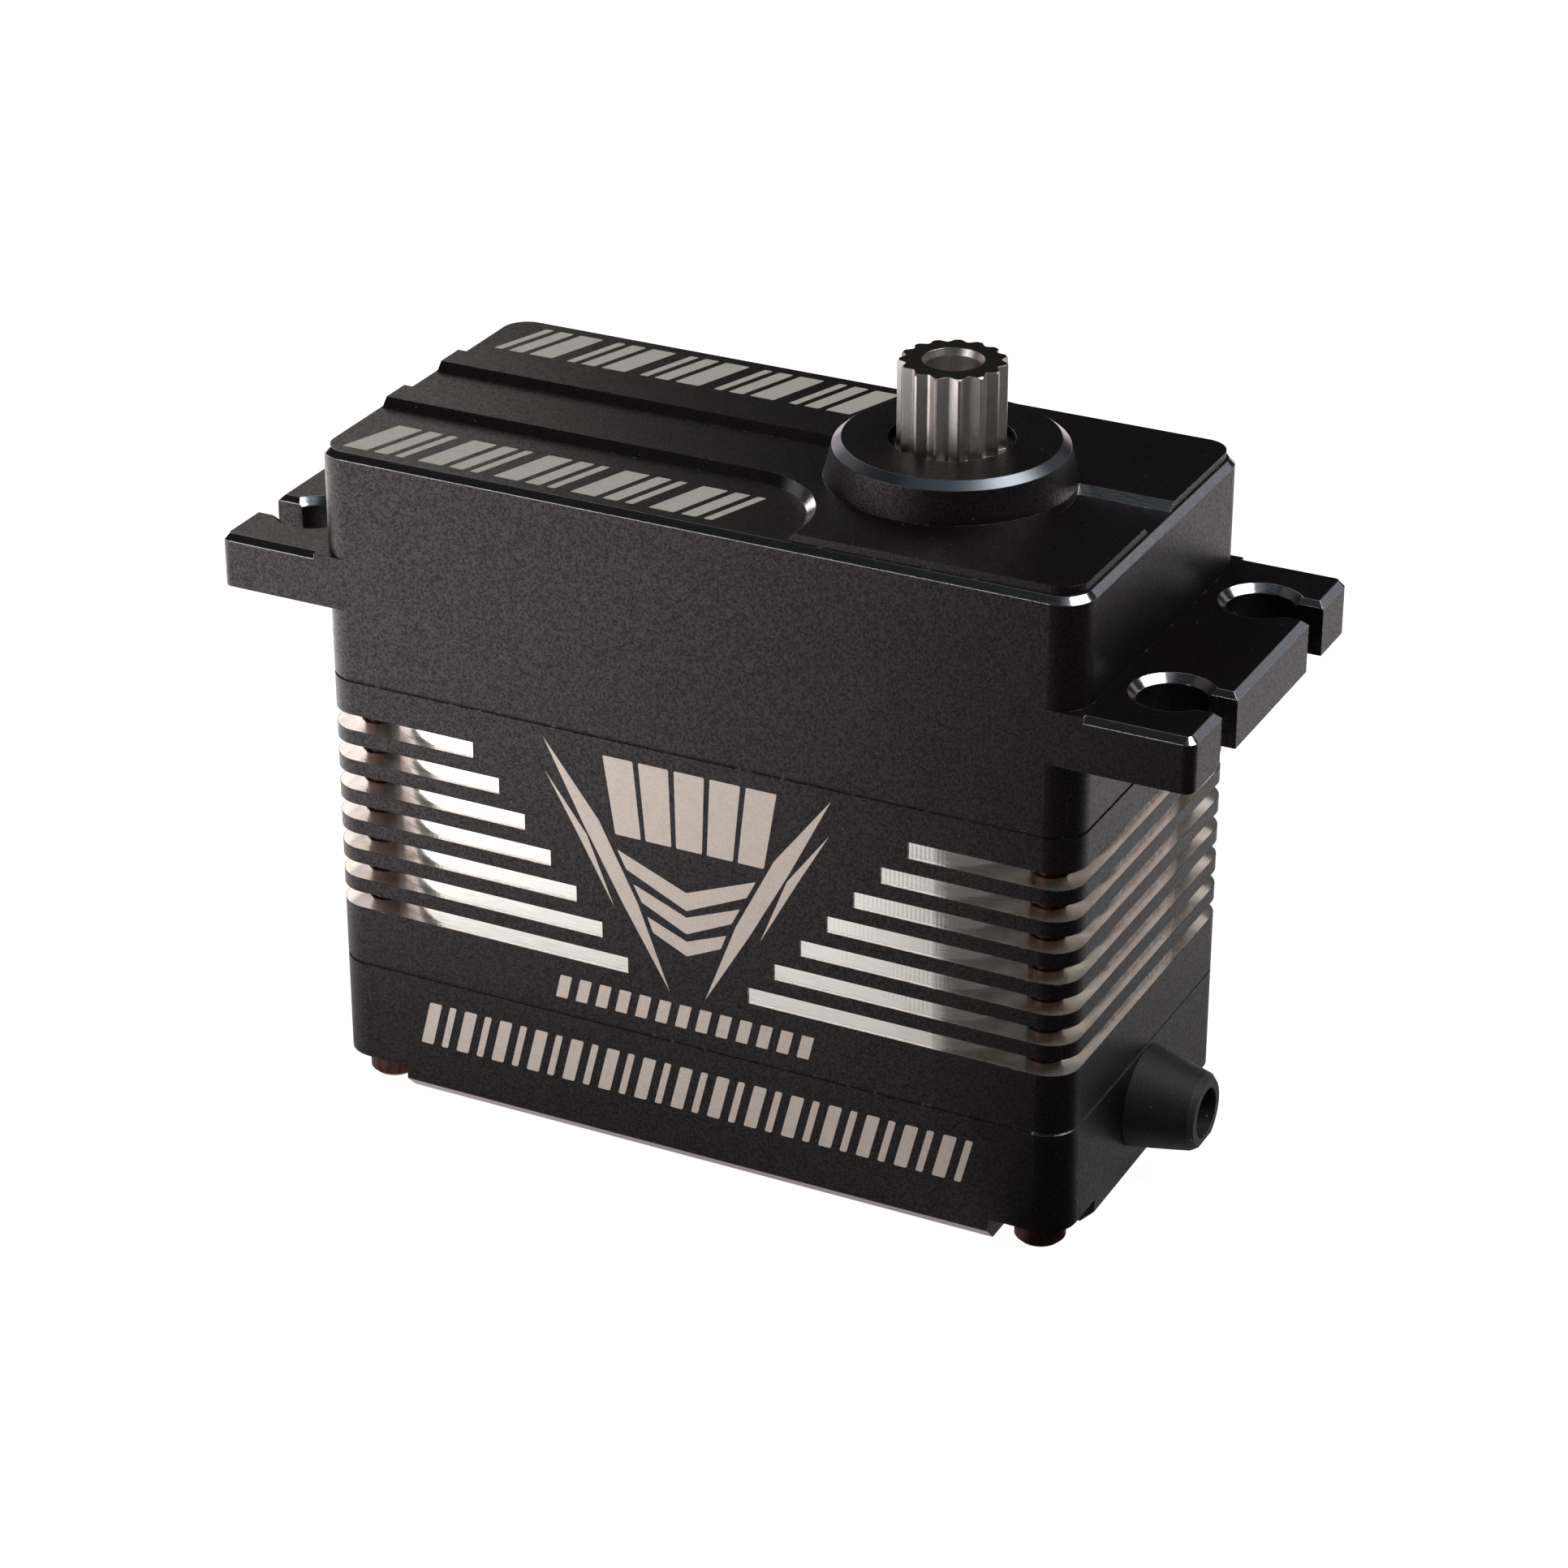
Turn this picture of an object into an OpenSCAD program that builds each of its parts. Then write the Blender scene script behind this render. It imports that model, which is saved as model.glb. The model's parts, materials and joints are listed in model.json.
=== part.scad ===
// Large-scale steering servo: machined three-part case, slotted heat-sink
// middle, slit mounting ears, coarse splined output shaft, spur gear train,
// brushless motor, position sensor and control board.
// Z is the output shaft axis direction, X runs along the case, the output
// shaft stands near +X.  Z = 0 is the underside of the mounting ears.

/* [Case] */
// Case length along X, mm
case_l = 59.5; // [50:0.1:70]
// Case width along Y, mm
case_w = 29.2; // [24:0.1:34]
// Radius of the four vertical case corners, mm
corner_r = 2.4; // [1:0.1:4]
// Bright-cut chamfer of the top edges, mm
edge_c = 0.45; // [0.2:0.05:0.8]
// Wall thickness of the case, mm
wall = 2.2; // [1.6:0.1:3]

/* [Levels above the ear underside] */
// Top of the mounting ears
z_ear = 4.05; // [3:0.05:5]
// Seam between upper case and heat sink
z_seam1 = -5.5; // [-7:0.1:-4]
// Seam between heat sink and lower case
z_seam2 = -28.9; // [-32:0.1:-26]
// Underside of the corner reliefs
z_relief = -37.0; // [-40:0.1:-34]
// Underside of the base plinth
z_plinth = -39.1; // [-41:0.1:-36.5]
// Chamfer round the underside of the plinth, mm
plinth_c = 1.05; // [0.2:0.05:1.5]
// Floor of the low pads on the top face
z_pad = 12.25; // [10:0.05:14]
// Raised plateau of the top face
z_plateau = 12.9; // [10.5:0.05:14.5]
// Top of the bearing boss
z_boss = 15.75; // [14:0.05:18]
// Tip of the output spline
z_tip = 21.5; // [18:0.1:24]

/* [Ears] */
// Overall length across both ears, mm
ear_l = 75.9; // [70:0.1:80]
// Ear hole position from the centre, X
hole_x = 33.85; // [31:0.05:36]
// Ear hole position from the centre, Y
hole_y = 8.2; // [6:0.05:10]
// Ear hole radius, mm
hole_r = 2.5; // [2:0.05:3]
// Width of the slit from each ear hole to the ear end, mm
slit_w = 2.9; // [2:0.1:3.5]

/* [Output] */
// Output shaft position along X, mm
out_x = 13.5; // [12:0.1:16]
// Spline tooth count
spline_n = 15; // [15:1:25]
// Spline outside radius, mm
spline_r = 3.88; // [2.8:0.01:4.2]
// Spline root radius, mm
spline_root = 3.36; // [2.4:0.01:3.8]
// Turn of the spline about its axis at the middle of its travel, degrees
spline_turn = 12.9; // [0:0.1:24]
// Bore radius of the horn screw thread, mm
bore_r = 2.0; // [1.2:0.01:2.1]

/* [Heat sink] */
// Number of slots at each end
slots = 7; // [5:1:9]
// Height of each slot, mm
slot_h = 1.28; // [1:0.02:1.6]
// Depth of the slots on the two long sides, mm
slot_front = 0.16; // [0.1:0.02:2]
// Depth of the slots on the two ends, mm
slot_side = 0.85; // [0.1:0.05:3]
// Corner radius of the core behind the slots, mm
core_r = 9.6; // [5:0.1:12]
// Slot to slot distance, mm
slot_p = 2.44; // [2:0.02:3]
// Centre height of the uppermost slot
slot_z1 = -8.9; // [-10:0.05:-8]
// X where the uppermost slot ends
slot_x1 = 17.25; // [15:0.05:20]
// X step from each slot end to the next one down
slot_dx = 2.07; // [1.5:0.01:2.5]

/* [Screws] */
// Distance of the case screws from the case sides, mm
scr_e = 2.95; // [2.5:0.05:3.5]
// Case screw shank radius, mm
scr_r = 1.15; // [1:0.05:1.5]
// Case screw head radius, mm
scr_head_r = 1.86; // [1.6:0.01:2.4]
// Case screw head height, mm
scr_head_h = 2.2; // [1.8:0.1:2.6]

/* [Cable gland] */
// Gland radius at the case, mm
gland_r = 4.05; // [3.6:0.05:4.2]
// Length of the gland outside the case, mm
gland_l = 4.9; // [3:0.1:8]

/* [Gear train] */
// Centre distance of the two reduction axes, mm
gear_a = 14.4; // [14.4:0.1:14.4]
// Centre distance from the motor to the first wheel, mm
gear_a1 = 13.8; // [13.8:0.1:13.8]
// Backlash: tooth thinning at the pitch circle, mm
lash = 0.13; // [0.08:0.01:0.2]

/* [Hidden] */
e = 0.01;
hx = case_l / 2;
hy = case_w / 2;
idl_x = out_x - gear_a;
mot_x = idl_x - gear_a1;
sx = hx - scr_e;
sy = hy - scr_e;

// ---------- profiles ----------
// exact rounded rectangle
module rr(l, w, r) {
  square([l - 2 * r, w], center = true);
  square([l, w - 2 * r], center = true);
  for (x = [-1, 1], y = [-1, 1]) translate([x * (l / 2 - r), y * (w / 2 - r)]) circle(r, $fn = 48);
}
// layer of height c whose four sides lean in by c (top chamfer of a block)
module cham(l, w, r, c) {
  rotate([90, 0, 0]) translate([0, 0, -(w / 2 - r)]) linear_extrude(w - 2 * r)
    polygon([[-l / 2, 0], [l / 2, 0], [l / 2 - c, c], [-l / 2 + c, c]]);
  rotate([90, 0, 90]) translate([0, 0, -(l / 2 - r)]) linear_extrude(l - 2 * r)
    polygon([[-w / 2, 0], [w / 2, 0], [w / 2 - c, c], [-w / 2 + c, c]]);
  for (x = [-1, 1], y = [-1, 1]) translate([x * (l / 2 - r), y * (w / 2 - r), 0])
    cylinder(r1 = r, r2 = r - c, h = c, $fn = 48);
}
module block(l, w, r, z0, z1, c) {
  translate([0, 0, z0]) linear_extrude(z1 - z0 - c) rr(l, w, r);
  translate([0, 0, z1 - c]) cham(l, w, r, c);
}
module corners(x = sx, y = sy) { for (i = [-1, 1], j = [-1, 1]) translate([i * x, j * y, 0]) children(); }
module ring(ro, ri, z0, z1) {
  translate([0, 0, z0]) difference() { cylinder(r = ro, h = z1 - z0, $fn = 64);
    translate([0, 0, -1]) cylinder(r = ri, h = z1 - z0 + 2, $fn = 64); }
}
module cyl(r, z0, z1) { translate([0, 0, z0]) cylinder(r = r, h = z1 - z0, $fn = 64); }

// ---------- involute teeth ----------
pa = 25;
function inv(a) = tan(a) - a * PI / 180;
// half tooth angle (deg) at radius r
function half_ang(r, m, z) = let(rp = m * z / 2, rb = rp * cos(pa), aa = r <= rb ? 0 : acos(rb / r))
  (PI / (2 * z) - lash / (2 * rp)) * 180 / PI + (inv(pa) - inv(aa)) * 180 / PI;
function flank(m, z, k) = let(rb = m * z / 2 * cos(pa), rt = m * z / 2 + 0.85 * m, rf = m * z / 2 - 1.1 * m,
  rs = max(rb, rf)) [for (i = [0:k]) rs + (rt - rs) * i / k];
function tooth(m, z, k, a) = let(f = flank(m, z, k), rf = m * z / 2 - 1.1 * m, h0 = half_ang(f[0], m, z))
  concat([[rf * cos(a - h0), rf * sin(a - h0)]],
    [for (i = [0:k]) let(r = f[i], h = half_ang(r, m, z)) [r * cos(a - h), r * sin(a - h)]],
    [for (i = [k:-1:0]) let(r = f[i], h = half_ang(r, m, z)) [r * cos(a + h), r * sin(a + h)]],
    [[rf * cos(a + h0), rf * sin(a + h0)]]);
module gear2d(m, z, ph, k = 3)
  polygon([for (i = [0:z - 1]) each tooth(m, z, k, ph + i * 360 / z)]);

// ---------- upper case ----------
module posts_fill() // solid corners round the case screws
  for (i = [-1, 1], j = [-1, 1]) {
    translate([i * sx, j * sy]) circle(2.8, $fn = 48);
    translate([i * (sx + 5), j * (sy + 2.2)]) square([10, 10], center = true);
    translate([i * (sx + 2.2), j * (sy + 5)]) square([10, 10], center = true);
  }
module chamber() // gear chamber outline
  difference() { rr(case_l - 2 * wall, case_w - 2 * wall, 1.2); posts_fill(); }

module ears() {
  difference() {
    block(ear_l, case_w, 0.8, 0, z_ear, edge_c);
    for (s = [-1, 1]) translate([s * hole_x, 0, 0]) for (y = [-hole_y, hole_y]) translate([0, y, 0]) {
      translate([0, 0, -1]) cylinder(r = hole_r, h = z_ear + 2, $fn = 64);
      translate([0, 0, z_ear - 0.55]) cylinder(r1 = hole_r, r2 = hole_r + 0.56, h = 0.56, $fn = 64);
      translate([s * 5, 0, z_ear / 2]) cube([10, slit_w, z_ear + 2], center = true);
      // slit edge chamfers
      translate([s * 5, 0, z_ear]) rotate([90, 0, 90]) translate([0, 0, -5]) linear_extrude(10)
        polygon([[-slit_w / 2 - 0.4, e], [slit_w / 2 + 0.4, e], [slit_w / 2, -0.4], [-slit_w / 2, -0.4]]);
    }
    // light chamfer under each ear hole
    for (s = [-1, 1]) translate([s * hole_x, 0, 0]) for (y = [-hole_y, hole_y]) translate([0, y, -e])
      cylinder(r1 = hole_r + 0.3, r2 = hole_r, h = 0.3, $fn = 64);
  }
}
// one low pad: flat floor, walls leaning out by 45 degrees, large round inner corner
pad_y = 5.8; // inner side of the pad floor
pad_r = 6.5; // corner radius of the pad floor
pad_x = 7.6; // +X end of the pad floor
module pad_cut(s) {
  cx = pad_x - pad_r; cy = pad_y + pad_r;
  translate([0, 0, z_pad]) linear_extrude(2) {
    translate([-hx - 1, s > 0 ? pad_y : -15.6]) square([hx + 1 + cx, 15.6 - pad_y]);
    translate([cx - e, s > 0 ? cy : -15.6]) square([pad_r + e, 15.6 - cy]);
    intersection() { translate([cx, s * cy]) circle(pad_r, $fn = 96);
      translate([cx - e, s > 0 ? 0 : -cy - e]) square([20, cy + e]); }
  }
  rotate([90, 0, 90]) translate([0, 0, -hx - 1]) linear_extrude(hx + 1 + cx)
    polygon([[s * (pad_y + e), z_pad], [s * pad_y, z_pad], [s * (pad_y - 1), z_pad + 1], [s * (pad_y + e), z_pad + 1]]);
  intersection() {
    translate([cx, s * cy, z_pad]) cylinder(r1 = pad_r, r2 = pad_r + 1, h = 1, $fn = 96);
    translate([cx - e, s > 0 ? 0 : -cy - e, z_pad - 1]) cube([20, cy + e, 4]);
  }
  rotate([90, 0, 0]) translate([0, 0, s > 0 ? -15.6 : cy]) linear_extrude(15.6 - cy)
    polygon([[pad_x - e, z_pad], [pad_x, z_pad], [pad_x + 1, z_pad + 1], [pad_x - e, z_pad + 1]]);
}
module upper_case() color("#1d1c1f") difference() {
  union() {
    block(case_l, case_w, corner_r, z_seam1, z_pad, edge_c);
    translate([0, 0, z_pad - 1]) linear_extrude(z_plateau - z_pad + 1)
      rr(case_l - 2 * edge_c - 0.3, case_w - 2 * edge_c - 0.3, corner_r - edge_c);
    // bearing boss
    translate([out_x, 0, z_plateau - 1]) cylinder(r = 8.95, h = 1, $fn = 96);
    translate([out_x, 0, z_plateau]) cylinder(r1 = 8.95, r2 = 8.36, h = z_boss - 0.52 - z_plateau, $fn = 96);
    translate([out_x, 0, z_boss - 0.52]) cylinder(r1 = 8.36, r2 = 7.72, h = 0.52, $fn = 96);
    ears();
    // square roots of the ears, where their edge chamfer stops
    translate([0, 0, z_ear / 2]) cube([case_l + 0.5, case_w, z_ear], center = true);
  }
  pad_cut(-1);
  pad_cut(1);
  // shallow centre channel, left of the boss and right of it
  for (s = [-1, 1]) difference() {
    rotate([90, 0, 90]) translate([0, 0, s < 0 ? -hx - 1 : out_x + 8.6]) linear_extrude(s < 0 ? hx + 1 + out_x - 8.6 : hx - out_x)
      polygon([[-2, z_pad], [2, z_pad], [3, z_pad + 1], [-3, z_pad + 1]]);
    translate([out_x, 0, z_pad - 1]) cylinder(r = 8.95, h = 4, $fn = 96);
  }
  // gear chamber, bearing seat, seal seat, shaft hole
  translate([0, 0, z_seam1 - 1]) linear_extrude(10.3 - z_seam1 + 1) chamber();
  translate([out_x, 0, 0]) { cyl(6.0, 10, 13.9); cyl(5.5, 13, 15.0); cyl(4.45, 14, 17); }
  // idler pin socket and screw threads
  translate([idl_x, 0, 0]) cyl(1.5, 10, 11.3);
  corners() cyl(scr_r, z_seam1 - 1, 3.5);
  // seam edge relief
  translate([0, 0, z_seam1 - e]) linear_extrude(0.12) difference() {
    square([case_l + 2, case_w + 2], center = true); rr(case_l - 0.2, case_w - 0.2, corner_r - 0.1); }
}

// ---------- heat sink middle case ----------
module core() rr(case_l - 2 * slot_side, case_w - 2 * slot_front, core_r); // solid core left behind the slots
module middle_case() color("#242328") difference() {
  translate([0, 0, z_seam2]) linear_extrude(z_seam1 - z_seam2) rr(case_l, case_w, corner_r);
  // cooling slots
  for (s = [-1, 1], i = [0:slots - 1])
    translate([0, 0, slot_z1 - i * slot_p - slot_h / 2]) linear_extrude(slot_h) difference() {
      translate([s > 0 ? slot_x1 - i * slot_dx : -40, -20]) square([40 - slot_x1 + i * slot_dx, 40]);
      core();
    }
  // motor bore and electronics bay
  translate([mot_x, 0, 0]) { cyl(11.05, z_seam2 - 1, -9.6); cyl(4.6, -10, -4); }
  translate([0, 0, z_seam2 - 1]) linear_extrude(18.4) difference() {
    translate([12.2, 0]) rr(22, 18.6, 2); translate([mot_x, 0]) circle(12.3, $fn = 64); }
  // gear plate recess
  translate([0, 0, -6.3]) linear_extrude(2) translate([-0.4, 0]) rr(50, 23.2, 2);
  // bearing seat, sensor bore, idler pin socket
  translate([out_x, 0, 0]) { cyl(4.0, -9.3, -6); cyl(3.2, -12, -6); }
  translate([idl_x, 0, 0]) cyl(1.5, -9.0, -6);
  corners() cyl(scr_r + 0.2, z_seam2 - 1, z_seam1 + 1);
  for (a = [45, 225]) translate([mot_x, 0, 0]) rotate(a) translate([8.2, 0, 0]) cyl(1.1, -10, -4);
  // gasket grooves
  for (z = [z_seam1 - 0.5, z_seam2 - 0.1]) translate([0, 0, z]) linear_extrude(0.6) seal_line();
  // seam edge reliefs
  for (z = [z_seam1 - 0.12, z_seam2 - e]) translate([0, 0, z]) linear_extrude(0.12 + e) difference() {
    square([case_l + 2, case_w + 2], center = true); rr(case_l - 0.2, case_w - 0.2, corner_r - 0.1); }
}
// gasket path: a loop that passes inside the case screws
module seal_line() difference() {
  union() {
    difference() { rr(case_l - 2.2, case_w - 2.2, 1.6); rr(case_l - 3.6, case_w - 3.6, 1.0); }
    intersection() { rr(case_l - 2.2, case_w - 2.2, 1.6);
      for (i = [-1, 1], j = [-1, 1]) translate([i * sx, j * sy]) circle(2.6, $fn = 48); }
  }
  for (i = [-1, 1], j = [-1, 1]) translate([i * sx, j * sy]) circle(1.9, $fn = 48);
}
module upper_gasket() color("#111111") translate([0, 0, z_seam1 - 0.5]) linear_extrude(0.5) seal_line();
module lower_gasket() color("#111111") translate([0, 0, z_seam2]) linear_extrude(0.5) seal_line();

// ---------- lower case ----------
module lower_case() color("#1d1c1f") difference() {
  union() {
    translate([0, 0, z_relief]) linear_extrude(z_seam2 - z_relief) rr(case_l, case_w, corner_r);
    // base plinth with a bright-cut lower edge
    difference() {
      translate([0, 0, z_plinth + 2.4]) mirror([0, 0, 1]) block(case_l, case_w, corner_r, 0, 2.4, plinth_c);
      corners(hx, hy) translate([0, 0, z_plinth - 1]) linear_extrude(4) rr(11.6, 11.6, 1.2);
    }
  }
  // electronics bay, with four posts under the board
  translate([0, 0, -34.9]) linear_extrude(8) difference() { rr(case_l - 3.6, case_w - 3.6, 1.2); posts_fill(); }
  translate([0, 0, -36.2]) linear_extrude(1.4) difference() {
    rr(case_l - 3.6, case_w - 3.6, 1.2);
    posts_fill();
    for (x = [-19, 19], y = [-9.6, 9.6]) translate([x, y]) circle(1.6, $fn = 32);
  }
  for (x = [-19, 19], y = [-9.6, 9.6]) translate([x, y, 0]) cyl(0.6, -36.0, -34);
  // gland hole
  translate([hx - 4, 0, -33.2]) rotate([0, 90, 0]) cylinder(r = 3.2, h = 6, $fn = 64);
  corners() cyl(scr_r + 0.2, z_plinth - 1, z_seam2 + 1);
  translate([0, 0, z_seam2 - 0.12]) linear_extrude(0.12 + e) difference() {
    square([case_l + 2, case_w + 2], center = true); rr(case_l - 0.2, case_w - 0.2, corner_r - 0.1); }
}

// ---------- fasteners and rubber ----------
module case_screws() color("#2b201b") corners() {
  difference() {
    union() {
      cyl(scr_r, z_relief, 2.6);
      translate([0, 0, z_relief - scr_head_h + 0.3]) cylinder(r = scr_head_r, h = scr_head_h - 0.3, $fn = 48);
      translate([0, 0, z_relief - scr_head_h]) cylinder(r1 = scr_head_r - 0.3, r2 = scr_head_r, h = 0.3, $fn = 48);
    }
    translate([0, 0, z_relief - scr_head_h - 1]) cylinder(r = 0.87, h = 2.2, $fn = 6);
  }
}
module cable_gland() color("#151515") translate([0, 0, -33.2]) rotate([0, 90, 0]) difference() {
  union() {
    difference() {
      union() {
        translate([0, 0, hx]) cylinder(r1 = gland_r, r2 = gland_r - 1.1, h = gland_l - 0.4, $fn = 64);
        translate([0, 0, hx + gland_l - 0.4]) cylinder(r1 = gland_r - 1.1, r2 = gland_r - 1.5, h = 0.4, $fn = 64);
      }
      // flat underside
      translate([7.65, 0, hx + gland_l / 2]) cube([10.8, 20, gland_l + 2], center = true);
    }
    translate([0, 0, hx - 1.8]) cylinder(r = 3.2, h = 1.8, $fn = 64);
    translate([0, 0, hx - 3]) intersection() { cylinder(r = 3.9, h = 1.2, $fn = 64); cube([5.9, 9, 4], center = true); }
  }
  translate([0, 0, hx - 5]) cylinder(r = 1.9, h = 14, $fn = 48);
}
module output_seal() color("#101010") translate([out_x, 0, 0]) ring(5.5, 4.06, 13.95, 15.0);

// ---------- bearings ----------
module race(ri, ro, zc, b, h, outer) { // one ball-bearing ring with its groove
  rm = (ri + ro) / 2; t = (ro - ri) * 0.30;
  rotate_extrude($fn = 64) difference() {
    translate([outer ? ro - t : ri, zc - h / 2]) square([t, h]);
    translate([rm, zc]) circle(b + 0.03, $fn = 32);
  }
}
module balls(rm, zc, b, n) for (i = [0:n - 1]) rotate(i * 360 / n) translate([rm, 0, zc]) sphere(b, $fn = 20);
module upper_bearing_outer() color("#b9bcc0") translate([out_x, 0, 0]) race(4, 6, 12.15, 0.6, 3.5, true);
module upper_bearing_inner() color("#b9bcc0") translate([out_x, 0, 0]) race(4, 6, 12.15, 0.6, 3.5, false);
module upper_bearing_balls() color("#d5d8dc") translate([out_x, 0, 0]) balls(5, 12.15, 0.6, 12);
module lower_bearing_outer() color("#b9bcc0") translate([out_x, 0, 0]) race(2, 4, -7.8, 0.6, 3, true);
module lower_bearing_inner() color("#b9bcc0") translate([out_x, 0, 0]) race(2, 4, -7.8, 0.6, 3, false);
module lower_bearing_balls() color("#d5d8dc") translate([out_x, 0, 0]) balls(3, -7.8, 0.6, 8);

// ---------- output ----------
function spl(a, r) = [r * cos(a), r * sin(a)];
module spline2d() polygon([for (i = [0:spline_n - 1]) let(p = i * 360 / spline_n + spline_turn)
  each [spl(p - 10.4, spline_root), spl(p - 3.2, spline_r - 0.14), spl(p - 1.1, spline_r),
        spl(p + 1.1, spline_r), spl(p + 3.2, spline_r - 0.14), spl(p + 10.4, spline_root)]]);
module output_shaft() color("#8f8a88") translate([out_x, 0, 0]) difference() {
  union() {
    cyl(2.0, -9.3, 4.4);
    cyl(4.5, 4.4, 10.4); // hub carrying the output wheel
    cyl(4.0, 10.4, 15.3);
    translate([0, 0, 15.3]) linear_extrude(z_tip - 15.3) intersection() { spline2d(); circle(spline_r - 0.02, $fn = 64); }
  }
  translate([0, 0, 10.5]) cylinder(r = bore_r, h = 20, $fn = 48);
  translate([0, 0, z_tip - 0.5]) cylinder(r1 = bore_r, r2 = 2.2, h = 0.55, $fn = 48);
  translate([0, 0, z_tip - 0.12]) difference() { cylinder(r = 5, h = 1, $fn = 96);
    translate([0, 0, -0.2]) cylinder(r1 = 4.06, r2 = 3.72, h = 0.34, $fn = 96); }
  translate([0, 0, -9.4]) linear_extrude(3) square([2, 0.8], center = true);
}
module output_wheel() color("#a9a29a") translate([out_x, 0, 4.5]) linear_extrude(4.4)
  difference() { gear2d(0.8, 26, 180 / 26); circle(4.5, $fn = 64); }
module idler_pin() color("#c9cdd2") translate([idl_x, 0, 0]) cyl(1.5, -8.9, 11.2);
module gear_1_wheel() color("#b98d4f") translate([idl_x, 0, -4.3]) linear_extrude(2) difference() {
  gear2d(0.4, 57, 0); circle(3.0, $fn = 64); for (i = [0:4]) rotate(i * 72) translate([7.1, 0]) circle(2, $fn = 32); }
module gear_1_pinion() color("#a6a29e") translate([idl_x, 0, 0]) difference() {
  union() { cyl(3.0, -4.8, -2.3); translate([0, 0, -2.3]) linear_extrude(3.1) gear2d(0.48, 13, 0); }
  cyl(1.55, -6, 2); }
module gear_2_wheel() color("#a6a29e") translate([out_x, 0, -1.7]) linear_extrude(2.2) difference() {
  gear2d(0.48, 47, 0); circle(3.4, $fn = 64); }
module gear_2_pinion() color("#a6a29e") translate([out_x, 0, 0]) difference() {
  union() { cyl(3.4, -2.2, 0.5); translate([0, 0, 0.5]) linear_extrude(3.5) gear2d(0.6, 12, 0); }
  cyl(2.05, -3, 5); }
module gear_3_wheel() color("#a6a29e") translate([idl_x, 0, 1.2]) linear_extrude(2.6) difference() {
  gear2d(0.6, 36, 180 / 36); circle(3.1, $fn = 64); }
module gear_3_pinion() color("#a6a29e") translate([idl_x, 0, 0]) difference() {
  union() { cyl(3.1, 1.0, 3.8); translate([0, 0, 3.8]) linear_extrude(5.4) gear2d(0.8, 10, 0); }
  cyl(1.55, 0, 10); }
module output_spacer() color("#c9cdd2") translate([out_x, 0, 0]) ring(2.4, 2.0, -6.3, -2.4);
module thrust_washers() color("#c9cdd2") {
  translate([idl_x, 0, 0]) { ring(2.6, 1.5, -6.3, -5.0); ring(2.4, 1.5, 9.4, 10.3); }
}

// ---------- motor ----------
module motor_pinion() color("#b98d4f") translate([mot_x, 0, -4.5]) linear_extrude(2.5)
  difference() { gear2d(0.4, 12, 0); circle(1.0, $fn = 32); }
module motor_shaft() color("#c9cdd2") translate([mot_x, 0, 0]) { cyl(1.0, -28.6, -1.9); }
module rotor_hub() color("#8a8d92") translate([mot_x, 0, 0]) ring(3.2, 1.0, -24.5, -14.3);
module rotor_magnet() color("#55585e") translate([mot_x, 0, 0]) ring(5.4, 3.2, -24.0, -14.8);
module motor_can() color("#5d6168") translate([mot_x, 0, 0]) ring(11, 10.2, -27.4, -11.4);
module motor_front_bell() color("#3a3c40") translate([mot_x, 0, 0]) difference() {
  union() { cyl(11, -11.4, -9.6); cyl(10.2, -12.4, -11.4); cyl(4.5, -9.6, -8.2); }
  cyl(3.0, -13, -9.2); cyl(1.3, -10, -7); for (a = [45, 225]) rotate(a) translate([8.2, 0, 0]) cyl(0.9, -11.6, -9); }
module motor_rear_bell() color("#3a3c40") translate([mot_x, 0, 0]) difference() {
  union() { cyl(11, -29.2, -27.4); cyl(10.2, -27.4, -26.4); }
  cyl(3.0, -28.6, -26); cyl(1.3, -30, -26); for (i = [-1, 0, 1]) translate([6, i * 2.5, 0]) cyl(0.7, -30, -26); }
module motor_bearing_front() color("#b9bcc0") translate([mot_x, 0, 0]) ring(3.0, 1.05, -12.4, -9.9);
module motor_bearing_rear() color("#b9bcc0") translate([mot_x, 0, 0]) ring(3.0, 1.05, -28.6, -26.4);
module stator_core() color("#6d6a66") translate([mot_x, 0, -23.6]) linear_extrude(8.4) difference() {
  circle(10.2, $fn = 64); circle(5.7, $fn = 64);
  for (i = [0:5]) rotate(i * 60 + 30) { translate([7.6, 0]) square([2.2, 3.2], center = true); translate([5.9, 0]) square([1.4, 0.8], center = true); } }
module stator_windings() color("#b5652d") translate([mot_x, 0, 0]) for (i = [0:5]) rotate(i * 60 + 30)
  translate([7.6, 0, -19.4]) cube([2.1, 3.0, 10.8], center = true);
module motor_screws() color("#8d9096") translate([mot_x, 0, 0]) for (a = [45, 225]) rotate(a) translate([8.2, 0, 0]) {
  difference() { cyl(1.7, -6.3, -5.1); translate([0, 0, -5.6]) cylinder(r = 0.75, h = 2, $fn = 6); } cyl(0.9, -11.3, -6.3); }

// ---------- sensor and electronics ----------
module sensor_body() color("#2f4f3a") translate([out_x, 0, 0]) difference() {
  union() { cyl(5.2, -16.4, -12.2); cyl(3.2, -12.2, -10.4); for (i = [-1, 0, 1]) translate([5.6, i * 2.4, -15.6]) cube([2.4, 1.0, 0.5], center = true); }
  cyl(1.05, -15.6, -10); }
module sensor_shaft() color("#d9d2c0") translate([out_x, 0, 0]) { cyl(1.0, -15.4, -9.3); translate([0, 0, -9.3]) linear_extrude(1.6) square([1.8, 0.7], center = true); }
module control_board() color("#1f5a37") translate([0, 0, -34.9]) linear_extrude(1.0) difference() {
  rr(45, 24.6, 0.8); for (x = [-19, 19], y = [-9.6, 9.6]) translate([x, y]) circle(0.8, $fn = 32); }
module board_mosfets() color("#1a1a1a") for (i = [0:5]) translate([-13 + 5.2 * (i % 3) * 1.0, i < 3 ? -6.2 : 6.2, -33.3]) cube([4.2, 5.0, 1.2], center = true);
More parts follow.
